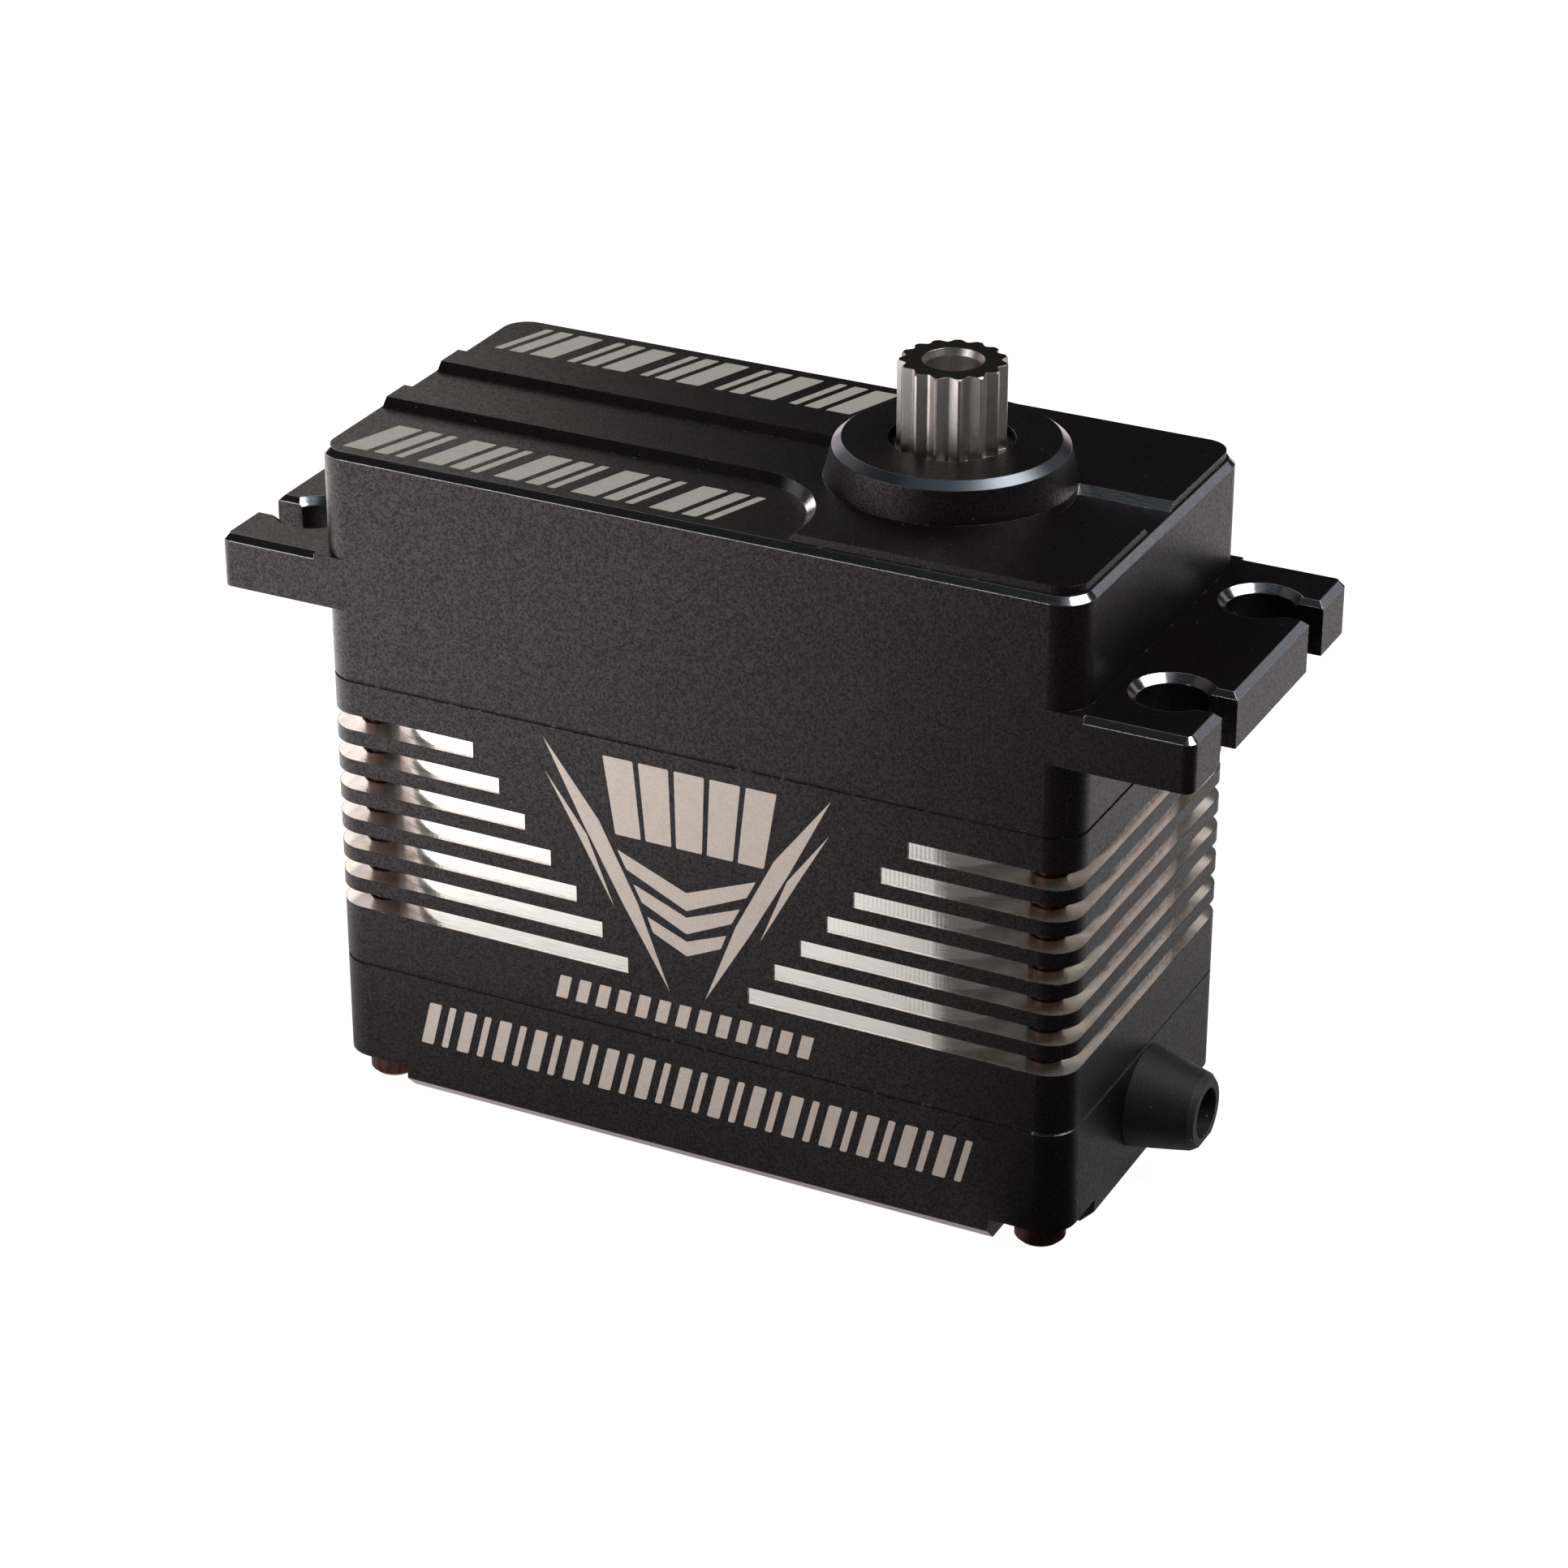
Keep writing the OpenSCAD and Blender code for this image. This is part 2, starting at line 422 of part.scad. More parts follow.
module board_controller() color("#202020") translate([9.5, 0, -33.3]) cube([7, 7, 1.2], center = true);
module board_capacitor() color("#3b3f46") translate([14.8, -7, -33.9]) cylinder(r = 2.6, h = 2.2, $fn = 48);
module board_resistors() color("#7a6a52") for (i = [0:5]) translate([4 + 3 * (i % 3), i < 3 ? -8 : 8, -33.65]) cube([1.6, 0.8, 0.5], center = true);
module board_screws() color("#9a9da3") for (x = [-19, 19], y = [-9.6, 9.6]) translate([x, y, 0]) {
  cyl(0.6, -35.9, -33.9); difference() { cyl(1.2, -33.9, -33.2); translate([0, 0, -33.5]) linear_extrude(1) square([1.6, 0.3], center = true); } }
module phase_wires() color("#7e1f1f") for (i = [-1, 0, 1]) translate([mot_x + 6, i * 2.5, 0]) cyl(0.6, -33.9, -24.8);
module sensor_wires() color("#c8b23c") for (i = [-1, 0, 1]) translate([out_x + 6.3, i * 2.4, 0]) cyl(0.35, -33.9, -15.85);

upper_case();
middle_case();
lower_case();
upper_gasket();
lower_gasket();
case_screws();
cable_gland();
output_seal();
upper_bearing_outer();
upper_bearing_inner();
upper_bearing_balls();
lower_bearing_outer();
lower_bearing_inner();
lower_bearing_balls();
output_shaft();
output_wheel();
output_spacer();
idler_pin();
gear_1_wheel();
gear_1_pinion();
gear_2_wheel();
gear_2_pinion();
gear_3_wheel();
gear_3_pinion();
thrust_washers();
motor_pinion();
motor_shaft();
rotor_magnet();
rotor_hub();
motor_can();
motor_front_bell();
motor_rear_bell();
motor_bearing_front();
motor_bearing_rear();
stator_core();
stator_windings();
motor_screws();
sensor_body();
sensor_shaft();
control_board();
board_mosfets();
board_controller();
board_capacitor();
board_resistors();
phase_wires();
sensor_wires();
board_screws();
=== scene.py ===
import json
import math

import bmesh
import bpy
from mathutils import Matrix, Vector

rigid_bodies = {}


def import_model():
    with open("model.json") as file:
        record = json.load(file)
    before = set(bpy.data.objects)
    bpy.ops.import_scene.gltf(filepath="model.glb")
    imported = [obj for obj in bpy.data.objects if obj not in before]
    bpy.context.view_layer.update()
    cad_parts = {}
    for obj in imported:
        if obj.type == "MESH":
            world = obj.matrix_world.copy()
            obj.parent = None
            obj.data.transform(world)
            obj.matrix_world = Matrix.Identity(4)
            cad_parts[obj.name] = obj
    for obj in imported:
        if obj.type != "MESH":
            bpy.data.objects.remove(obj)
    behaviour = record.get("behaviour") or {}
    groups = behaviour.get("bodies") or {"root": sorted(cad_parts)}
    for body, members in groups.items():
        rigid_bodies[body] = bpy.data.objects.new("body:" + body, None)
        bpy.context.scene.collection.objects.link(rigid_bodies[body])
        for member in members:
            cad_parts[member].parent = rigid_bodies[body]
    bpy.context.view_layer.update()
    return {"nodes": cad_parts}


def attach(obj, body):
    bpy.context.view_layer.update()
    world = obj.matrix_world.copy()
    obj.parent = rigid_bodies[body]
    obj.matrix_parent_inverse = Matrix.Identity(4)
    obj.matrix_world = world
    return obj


for o in list(bpy.data.objects):
    bpy.data.objects.remove(o, do_unlink=True)

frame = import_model()
N = frame["nodes"]
MM = 0.001

# ------------------------------------------------------------------ sizes, mm
HX, HY, CR = 29.75, 14.6, 2.4          # half sizes and corner radius of the case
Z_EAR, Z_SEAM1, Z_SEAM2 = 4.05, -5.5, -28.9
Z_PAD, Z_TOP, Z_BOSS, Z_TIP = 12.25, 12.9, 15.75, 21.5
Z_PLINTH, Z_FLOOR = -39.1, -39.2
OUT_X = 13.5
SLOT_FLOOR = -9.54                     # floor of the uppermost cooling slot


# ------------------------------------------------------------------ node helper
class Mat:
    """A small builder for one procedural material. Positions are in millimetres."""

    def __init__(self, name):
        self.m = bpy.data.materials.new(name)
        self.m.use_nodes = True
        self.t = self.m.node_tree
        self.t.nodes.clear()
        self.out = self.t.nodes.new("ShaderNodeOutputMaterial")
        self.p = self.t.nodes.new("ShaderNodeBsdfPrincipled")
        self.t.links.new(self.p.outputs[0], self.out.inputs[0])
        tc = self.t.nodes.new("ShaderNodeTexCoord")
        sc = self.t.nodes.new("ShaderNodeVectorMath")
        sc.operation = "SCALE"
        self.t.links.new(tc.outputs["Object"], sc.inputs[0])
        sc.inputs["Scale"].default_value = 1000.0
        self.pos = sc.outputs[0]
        sp = self.t.nodes.new("ShaderNodeSeparateXYZ")
        self.t.links.new(self.pos, sp.inputs[0])
        self.x, self.y, self.z = sp.outputs
        self._n = None

    def put(self, value, socket):
        if isinstance(value, bpy.types.NodeSocket):
            self.t.links.new(value, socket)
        elif isinstance(value, (tuple, list)):
            if len(value) == 3 and len(socket.default_value) == 4:
                value = (*value, 1.0)
            socket.default_value = value
        else:
            socket.default_value = value

    def math(self, op, a, b=None, c=None, clamp=False):
        n = self.t.nodes.new("ShaderNodeMath")
        n.operation = op
        n.use_clamp = clamp
        for i, v in enumerate((a, b, c)):
            if v is not None:
                self.put(v, n.inputs[i])
        return n.outputs[0]

    def add(self, a, b): return self.math("ADD", a, b)
    def sub(self, a, b): return self.math("SUBTRACT", a, b)
    def mul(self, a, b): return self.math("MULTIPLY", a, b)
    def abs(self, a): return self.math("ABSOLUTE", a)
    def max(self, a, b): return self.math("MAXIMUM", a, b)
    def min(self, a, b): return self.math("MINIMUM", a, b)
    def gt(self, a, b): return self.math("GREATER_THAN", a, b)
    def lt(self, a, b): return self.math("LESS_THAN", a, b)

    def ramp(self, v, lo, hi, a=0.0, b=1.0):
        n = self.t.nodes.new("ShaderNodeMapRange")
        n.interpolation_type = "SMOOTHSTEP"
        self.put(v, n.inputs[0])
        for i, k in enumerate((lo, hi, a, b)):
            self.put(k, n.inputs[i + 1])
        return n.outputs[0]

    def mix(self, f, a, b):
        n = self.t.nodes.new("ShaderNodeMix")
        n.data_type = "RGBA"
        self.put(f, n.inputs[0])
        self.put(a, n.inputs[6])
        self.put(b, n.inputs[7])
        return n.outputs[2]

    def mixf(self, f, a, b):
        n = self.t.nodes.new("ShaderNodeMix")
        n.data_type = "FLOAT"
        self.put(f, n.inputs[0])
        self.put(a, n.inputs[2])
        self.put(b, n.inputs[3])
        return n.outputs[0]

    def stretch(self, sx, sy, sz):
        n = self.t.nodes.new("ShaderNodeVectorMath")
        n.operation = "MULTIPLY"
        self.put(self.pos, n.inputs[0])
        n.inputs[1].default_value = (sx, sy, sz)
        return n.outputs[0]

    def noise(self, scale, detail=2.0, rough=0.5, vec=None, dist=0.0):
        n = self.t.nodes.new("ShaderNodeTexNoise")
        self.put(self.pos if vec is None else vec, n.inputs["Vector"])
        n.inputs["Scale"].default_value = scale
        n.inputs["Detail"].default_value = detail
        n.inputs["Roughness"].default_value = rough
        n.inputs["Distortion"].default_value = dist
        return n.outputs[0]

    def specks(self, scale, share, size):
        """1 on a few tiny round specks, 0 elsewhere."""
        n = self.t.nodes.new("ShaderNodeTexVoronoi")
        self.put(self.pos, n.inputs["Vector"])
        n.inputs["Scale"].default_value = scale
        s = self.t.nodes.new("ShaderNodeSeparateColor")
        self.t.links.new(n.outputs["Color"], s.inputs[0])
        return self.mul(self.gt(s.outputs[0], 1.0 - share), self.lt(n.outputs["Distance"], size))

    def normal(self):
        if self._n is None:
            g = self.t.nodes.new("ShaderNodeNewGeometry")
            s = self.t.nodes.new("ShaderNodeSeparateXYZ")
            self.t.links.new(g.outputs["Normal"], s.inputs[0])
            self._n = s.outputs
        return self._n

    def round_edge(self, radius):
        n = self.t.nodes.new("ShaderNodeBevel")
        n.samples = 6
        n.inputs["Radius"].default_value = radius * MM
        return n.outputs[0]

    def edge(self, radius):
        """1 close to a sharp edge, 0 on open faces."""
        b = self.round_edge(radius)
        g = self.t.nodes.new("ShaderNodeNewGeometry")
        d = self.t.nodes.new("ShaderNodeVectorMath")
        d.operation = "DOT_PRODUCT"
        self.t.links.new(b, d.inputs[0])
        self.t.links.new(g.outputs["Normal"], d.inputs[1])
        return self.ramp(d.outputs["Value"], 0.995, 0.93, 0.0, 1.0)

    def bump(self, height, depth_mm, strength=1.0, normal=None):
        n = self.t.nodes.new("ShaderNodeBump")
        self.put(height, n.inputs["Height"])
        n.inputs["Distance"].default_value = depth_mm * MM
        n.inputs["Strength"].default_value = strength
        if normal is not None:
            self.put(normal, n.inputs["Normal"])
        return n.outputs[0]

    def case_depth(self):
        """Signed distance in mm from the case's outer rounded rectangle, below 0 inside."""
        qx = self.sub(self.abs(self.x), HX - CR)
        qy = self.sub(self.abs(self.y), HY - CR)
        ox, oy = self.max(qx, 0.0), self.max(qy, 0.0)
        ln = self.math("SQRT", self.add(self.mul(ox, ox), self.mul(oy, oy)))
        return self.sub(self.add(ln, self.min(self.max(qx, qy), 0.0)), CR)

    def finish(self, color, rough, metal=0.0, normal=None, **const):
        self.put(color, self.p.inputs["Base Color"])
        self.put(rough, self.p.inputs["Roughness"])
        self.put(metal, self.p.inputs["Metallic"])
        if normal is not None:
            self.put(normal, self.p.inputs["Normal"])
        for k, v in const.items():
            self.p.inputs[k.replace("_", " ")].default_value = v
        return self.m


# ------------------------------------------------------------------ case finishes
ANOD_A = (0.0014, 0.0010, 0.0012)
ANOD_B = (0.0042, 0.0030, 0.0034)
CUT = (0.60, 0.60, 0.61)
MILLED = (0.93, 0.915, 0.89)


def case_material(name, cut_mask, milled_mask=None, soft_zone=None, lip_zone=None):
    """Blasted and anodised aluminium, with bright-cut edges and, where asked, bare milled slots."""
    m = Mat(name)
    depth = m.case_depth()
    nz = m.normal()[2]
    grain = m.noise(6.0, 2.0, 0.55)
    fine = m.noise(12.5, 2.0, 0.5)
    cloud = m.noise(0.16, 3.0, 0.5)
    painted_sparkle = m.specks(2.6, 0.035, 0.10)
    edge = m.edge(0.09)
    wear = m.mul(edge, m.ramp(m.noise(1.1, 4.0, 0.6), 0.56, 0.70))

    mottle = m.add(m.mul(grain, 0.6), m.mul(fine, 0.4))
    col = m.mix(m.ramp(mottle, 0.34, 0.66), ANOD_A, ANOD_B)
    col = m.mix(m.ramp(cloud, 0.35, 0.7, 0.0, 0.30), col, (0.006, 0.006, 0.008))
    # painted glints: a few tiny bright specks in the base colour stand in for the sparkle of the blasted grain
    col = m.mix(m.mul(painted_sparkle, 0.8), col, (0.26, 0.24, 0.22))
    col = m.mix(m.mul(wear, 0.7), col, (0.40, 0.38, 0.37))
    rough = m.mixf(m.ramp(mottle, 0.34, 0.66), 0.44, 0.34)
    rough = m.mixf(wear, rough, 0.30)
    metal = m.mixf(wear, 0.0, 0.9)
    gloss = m.ramp(mottle, 0.36, 0.64, 0.20, 0.52)
    height = m.add(m.mul(grain, 0.65), m.mul(fine, 0.35))

    slope, zone = cut_mask(m, depth, nz)
    cut = m.max(slope, m.mul(zone, edge))
    streak = m.noise(3.0, 3.0, 0.6, vec=m.stretch(0.5, 0.5, 5.0))
    nick = m.specks(2.2, 0.16, 0.14)
    ccol = m.mix(m.ramp(streak, 0.3, 0.7), (0.46, 0.455, 0.46), CUT)
    col = m.mix(cut, col, m.mix(m.mul(nick, 0.7), ccol, (0.80, 0.78, 0.76)))
    rough = m.mixf(cut, rough, m.mixf(fine, 0.09, 0.19))
    metal = m.mixf(cut, metal, 1.0)
    height = m.mixf(cut, height, m.mul(m.add(streak, fine), 0.13))
    if soft_zone is not None:
        soft = m.mul(cut, soft_zone(m))
        col = m.mix(soft, col, (0.15, 0.165, 0.19))
        rough = m.mixf(soft, rough, 0.30)
    if lip_zone is not None:
        lip = m.mul(edge, lip_zone(m))
        col = m.mix(lip, col, (0.34, 0.34, 0.36))
        rough = m.mixf(lip, rough, 0.20)
        metal = m.mixf(lip, metal, 1.0)

    if milled_mask is not None:
        mill = milled_mask(m, depth)
        chat = m.math("SINE", m.mul(m.add(m.x, m.y), 19.0))
        patch = m.ramp(m.noise(0.25, 2.0, 0.5), 0.40, 0.60)
        drag = m.noise(1.6, 4.0, 0.6, vec=m.stretch(0.30, 0.30, 7.0))
        brown_patch = m.ramp(m.noise(0.45, 3.0, 0.6), 0.50, 0.72, 0.0, 0.55)
        mcol = m.mix(m.ramp(drag, 0.32, 0.72), (0.82, 0.79, 0.75), MILLED)
        # brown patches at a quarter strength near the outer face and full strength from 0.5 mm into the slot: darker
        # and browner deeper in
        brown_patch = m.mul(brown_patch, m.ramp(depth, -0.12, -0.5, 0.25, 1.0))
        mcol = m.mix(brown_patch, mcol, (0.62, 0.54, 0.45))
        col = m.mix(mill, col, mcol)
        rough = m.mixf(mill, rough, m.mixf(m.ramp(drag, 0.3, 0.7), 0.14, 0.24))
        metal = m.mixf(mill, metal, 0.86)
        u = m.math("FRACT", m.mul(m.sub(m.z, SLOT_FLOOR), 1.0 / 2.44))
        # painted shade: a dark band at the foot of the slot end walls, where they meet the slot floor, broken up by
        # noise
        painted_crease_shade = m.mul(m.gt(m.abs(m.normal()[0]), 0.8), m.ramp(u, 0.28, 0.22))
        painted_crease_shade = m.mul(painted_crease_shade, m.ramp(m.noise(2.4, 4.0, 0.7), 0.36, 0.58, 0.30, 1.0))
        col = m.mix(m.mul(mill, m.mul(painted_crease_shade, 0.85)), col, (0.16, 0.15, 0.13))
        mh = m.add(m.mul(m.mul(chat, patch), 0.06), m.mul(drag, 0.12))
        height = m.mixf(mill, height, mh)
    n = m.bump(height, 0.022, 0.9, m.round_edge(0.07))
    m.put(gloss, m.p.inputs["Specular IOR Level"])
    return m.finish(col, rough, metal, n, IOR=1.5, Specular_Tint=(1.0, 0.88, 0.92, 1.0))


def upper_cut(m, depth, nz):
    slope = m.mul(m.gt(nz, 0.42), m.lt(nz, 0.93))
    rim = m.mul(m.gt(depth, -0.55), m.mul(m.lt(m.z, Z_PAD + 0.02), m.gt(m.z, Z_PAD - 0.6)))
    boss = m.gt(m.z, Z_BOSS - 0.56)
    ears = m.mul(m.lt(m.z, Z_EAR + 0.02), m.mul(m.gt(m.z, Z_EAR - 0.6), m.gt(m.abs(m.x), HX + 0.24)))
    zone = m.max(m.max(rim, boss), ears)
    pads = m.mul(m.mul(m.gt(m.z, Z_PAD + 0.03), m.lt(m.z, Z_TOP - 0.02)), m.mul(m.ramp(m.x, 3.0, 6.0), m.lt(depth, -0.6)))
    return m.mul(slope, m.max(zone, pads)), zone


def lower_cut(m, depth, nz):
    slope = m.mul(m.lt(nz, -0.42), m.gt(nz, -0.93))
    zone = m.lt(m.z, Z_PLINTH + 1.2)
    return m.mul(slope, zone), zone


def no_cut(m, depth, nz):
    return m.mul(nz, 0.0), m.mul(nz, 0.0)


def slot_mask(m, depth):
    inside = m.lt(depth, -0.03)
    band = m.mul(m.lt(m.z, -7.9), m.gt(m.z, -24.6))
    return m.mul(inside, band)


M_UPPER = case_material("anodised_upper", upper_cut, soft_zone=lambda m: m.gt(m.z, Z_TOP + 0.4))
M_MIDDLE = case_material("anodised_slotted", no_cut, slot_mask)
M_LOWER = case_material("anodised_lower", lower_cut, lip_zone=lambda m: m.mul(m.gt(m.z, Z_SEAM2 - 0.25), m.gt(m.x, HX - 2.6)))


# ------------------------------------------------------------------ other finishes
def plain_metal(name, a, b, rough, grain=(1, 1, 1), scale=3.0, depth=0.006, metal=1.0, edge=0.0, brown_patch=None, top=None):
    m = Mat(name)
    v = m.stretch(*grain)
    s = m.noise(scale, 4.0, 0.6, vec=v)
    f = m.noise(14.0, 2.0, 0.5)
    col = m.mix(m.ramp(s, 0.3, 0.7), a, b)
    if brown_patch is not None:
        col = m.mix(m.ramp(m.noise(0.55, 3.0, 0.6), 0.46, 0.66, 0.0, 0.7), col, brown_patch)
    r = m.mixf(m.ramp(m.add(m.mul(s, 0.6), m.mul(f, 0.4)), 0.3, 0.7), rough * 0.8, rough * 1.25)
    # painted shade: faces looking up take the darker top colour
    if top is not None:
        flat = m.gt(m.normal()[2], 0.9)
        col = m.mix(flat, col, top)
        r = m.mixf(flat, r, 0.30)
    if edge:
        e = m.edge(0.08)
        col = m.mix(m.mul(e, edge), col, (0.62, 0.60, 0.58))
    n = m.bump(m.add(m.mul(s, 0.6), m.mul(f, 0.4)), depth, 0.8, m.round_edge(0.05))
    return m.finish(col, r, metal, n)


def rubber(name):
    m = Mat(name)
    g = m.noise(6.0, 4.0, 0.65)
    f = m.noise(18.0, 2.0, 0.5)
    dust = m.specks(2.4, 0.10, 0.12)
    film = m.ramp(m.noise(0.8, 4.0, 0.7), 0.45, 0.75, 0.0, 0.5)
    col = m.mix(m.ramp(g, 0.3, 0.7), (0.014, 0.014, 0.0145), (0.028, 0.0275, 0.028))
    col = m.mix(film, col, (0.030, 0.028, 0.027))
    col = m.mix(m.mul(dust, 0.9), col, (0.42, 0.39, 0.36))
    r = m.mixf(film, 0.50, 0.74)
    n = m.bump(m.add(m.mul(g, 0.6), m.mul(f, 0.4)), 0.03, 0.8, m.round_edge(0.10))
    return m.finish(col, r, 0.0, n, Specular_IOR_Level=0.42)


def etched(name, a, b):
    m = Mat(name)
    g = m.noise(9.0, 3.0, 0.6)
    c = m.noise(0.9, 3.0, 0.6)
    col = m.mix(m.ramp(g, 0.28, 0.74), a, b)
    col = m.mix(m.ramp(c, 0.5, 0.75, 0.0, 0.3), col, tuple(0.8 * k for k in a))
    n = m.bump(g, 0.012, 0.7)
    return m.finish(col, m.mixf(g, 0.50, 0.68), 0.25, n, Specular_IOR_Level=0.35)


def plastic(name, a, b, rough=0.45, scale=2.0):
    m = Mat(name)
    g = m.noise(scale, 4.0, 0.6)
    f = m.noise(12.0, 2.0, 0.5)
    col = m.mix(m.ramp(g, 0.3, 0.7), a, b)
    n = m.bump(f, 0.012, 0.6, m.round_edge(0.08))
    return m.finish(col, m.mixf(f, rough * 0.85, rough * 1.2), 0.0, n)


def laminated(name):
    m = Mat(name)
    lam = m.math("SINE", m.mul(m.z, 2 * math.pi / 0.35))
    g = m.noise(5.0, 3.0, 0.6)
    col = m.mix(m.ramp(lam, -0.2, 0.6), (0.10, 0.105, 0.12), (0.30, 0.31, 0.33))
    n = m.bump(m.add(m.mul(lam, 0.5), m.mul(g, 0.2)), 0.03, 0.7)
    return m.finish(col, m.mixf(g, 0.34, 0.5), 0.9, n)


def copper(name):
    m = Mat(name)
    w = m.math("SINE", m.mul(m.add(m.z, m.mul(m.noise(0.6, 2.0), 0.5)), 2 * math.pi / 0.4))
    g = m.noise(2.0, 3.0, 0.6)
    col = m.mix(m.ramp(w, -0.6, 0.8), (0.20, 0.045, 0.014), (0.72, 0.23, 0.075))
    col = m.mix(m.mul(g, 0.3), col, (0.45, 0.12, 0.03))
    n = m.bump(w, 0.06, 0.7)
    return m.finish(col, m.mixf(g, 0.24, 0.36), 0.85, n, Coat_Weight=0.4)


def board(name):
    m = Mat(name)
    n = m.t.nodes.new("ShaderNodeTexVoronoi")
    n.distance = "MANHATTAN"
    n.feature = "F1"
    m.put(m.pos, n.inputs["Vector"])
    n.inputs["Scale"].default_value = 0.45
    tr = m.math("SINE", m.mul(n.outputs["Distance"], 26.0))
    top = m.gt(m.abs(m.normal()[2]), 0.7)
    track = m.mul(m.ramp(tr, 0.25, 0.45), top)
    g = m.noise(6.0, 3.0, 0.6)
    col = m.mix(m.ramp(g, 0.3, 0.7), (0.008, 0.065, 0.028), (0.012, 0.085, 0.036))
    col = m.mix(m.mul(track, 0.65), col, (0.03, 0.17, 0.07))
    col = m.mix(m.sub(1.0, top), col, (0.20, 0.17, 0.09))
    nn = m.bump(m.add(track, m.mul(g, 0.1)), 0.02, 0.6)
    return m.finish(col, 0.32, 0.0, nn, Coat_Weight=0.3)


M_BLACK_OXIDE = plain_metal("black_oxide_steel", (0.050, 0.022, 0.017), (0.120, 0.058, 0.044), 0.42,
                            grain=(1, 1, 0.35), scale=2.6, depth=0.010, metal=0.8, edge=0.22)
# the spline's top colour is painted shade on its up-facing end
M_SPLINE = plain_metal("spline_steel", (0.60, 0.56, 0.545), (0.66, 0.62, 0.60), 0.36,
                       grain=(3.0, 3.0, 1.2), scale=2.2, depth=0.0015, edge=0.5, brown_patch=(0.56, 0.49, 0.475), top=(0.19, 0.18, 0.165))
M_STEEL = plain_metal("ground_steel", (0.42, 0.42, 0.43), (0.60, 0.60, 0.61), 0.22, grain=(1, 1, 4), scale=2.0)
M_HARD = plain_metal("hardened_steel", (0.24, 0.235, 0.23), (0.42, 0.41, 0.40), 0.30, grain=(1, 1, 3),
                     scale=2.0, brown_patch=(0.20, 0.15, 0.11))
M_BALL = plain_metal("ball_steel", (0.62, 0.63, 0.65), (0.74, 0.75, 0.77), 0.08, scale=1.2, depth=0.001)
M_BRASS = plain_metal("brass", (0.52, 0.33, 0.10), (0.72, 0.50, 0.20), 0.24, scale=2.0, brown_patch=(0.30, 0.18, 0.06))
M_CAN = plain_metal("plated_steel", (0.40, 0.40, 0.41), (0.55, 0.55, 0.56), 0.26, grain=(1, 1, 6), scale=1.4)
M_BELL = plain_metal("turned_aluminium", (0.60, 0.60, 0.61), (0.76, 0.76, 0.76), 0.26, grain=(2, 2, 5), scale=1.5)
M_MAGNET = plain_metal("magnet_nickel", (0.22, 0.22, 0.225), (0.36, 0.36, 0.37), 0.34, scale=2.6)
M_RUBBER = rubber("black_rubber")
M_SEAL = plastic("nitrile_seal", (0.010, 0.010, 0.011), (0.022, 0.021, 0.021), 0.55)
M_LAM = laminated("laminated_iron")
M_COPPER = copper("enamelled_copper")
M_BOARD = board("circuit_board")
M_CHIP = plastic("moulded_package", (0.012, 0.012, 0.013), (0.026, 0.026, 0.027), 0.42)
M_SENSOR = plastic("sensor_housing", (0.015, 0.022, 0.045), (0.028, 0.036, 0.066), 0.40)
M_CERAMIC = plastic("ceramic_chip", (0.35, 0.27, 0.17), (0.47, 0.38, 0.26), 0.40)
M_CAP = plastic("capacitor_sleeve", (0.02, 0.03, 0.07), (0.035, 0.05, 0.11), 0.28)
M_WIRE = plastic("silicone_wire", (0.35, 0.02, 0.015), (0.47, 0.035, 0.025), 0.45)
M_WIRE2 = plastic("signal_wire", (0.45, 0.33, 0.05), (0.58, 0.44, 0.09), 0.45)
# one etched mark in two copies: painted light on the front copy, painted shade on the darker top copy
M_ETCH = etched("etched_mark", (0.78, 0.68, 0.61), (0.92, 0.82, 0.75))
M_ETCH_SHADED_TOP = etched("etched_mark_painted_shade_top", (0.47, 0.46, 0.41), (0.58, 0.57, 0.52))

ASSIGN = {
    "upper_case": M_UPPER, "middle_case": M_MIDDLE, "lower_case": M_LOWER,
    "upper_gasket": M_SEAL, "lower_gasket": M_SEAL, "output_seal": M_SEAL,
    "case_screws": M_BLACK_OXIDE, "board_screws": M_STEEL, "motor_screws": M_BLACK_OXIDE,
    "cable_gland": M_RUBBER, "output_shaft": M_SPLINE,
    "upper_bearing_outer": M_STEEL, "upper_bearing_inner": M_STEEL, "upper_bearing_balls": M_BALL,
    "lower_bearing_outer": M_STEEL, "lower_bearing_inner": M_STEEL, "lower_bearing_balls": M_BALL,
    "output_wheel": M_HARD, "output_spacer": M_BRASS, "idler_pin": M_STEEL,
    "gear_1_wheel": M_BRASS, "gear_1_pinion": M_HARD, "gear_2_wheel": M_HARD, "gear_2_pinion": M_HARD,
    "gear_3_wheel": M_HARD, "gear_3_pinion": M_HARD, "thrust_washers": M_BRASS,
    "motor_pinion": M_HARD, "motor_shaft": M_STEEL, "rotor_magnet": M_MAGNET, "rotor_hub": M_STEEL,
    "motor_can": M_CAN, "motor_front_bell": M_BELL, "motor_rear_bell": M_BELL,
    "motor_bearing_front": M_STEEL, "motor_bearing_rear": M_STEEL,
    "stator_core": M_LAM, "stator_windings": M_COPPER,
    "sensor_body": M_SENSOR, "sensor_shaft": M_BRASS, "control_board": M_BOARD,
    "board_mosfets": M_CHIP, "board_controller": M_CHIP, "board_capacitor": M_CAP,
    "board_resistors": M_CERAMIC, "phase_wires": M_WIRE, "sensor_wires": M_WIRE2,
}
for name, o in N.items():
    mat = ASSIGN[name]
    o.data.materials.clear()
    o.data.materials.append(mat)


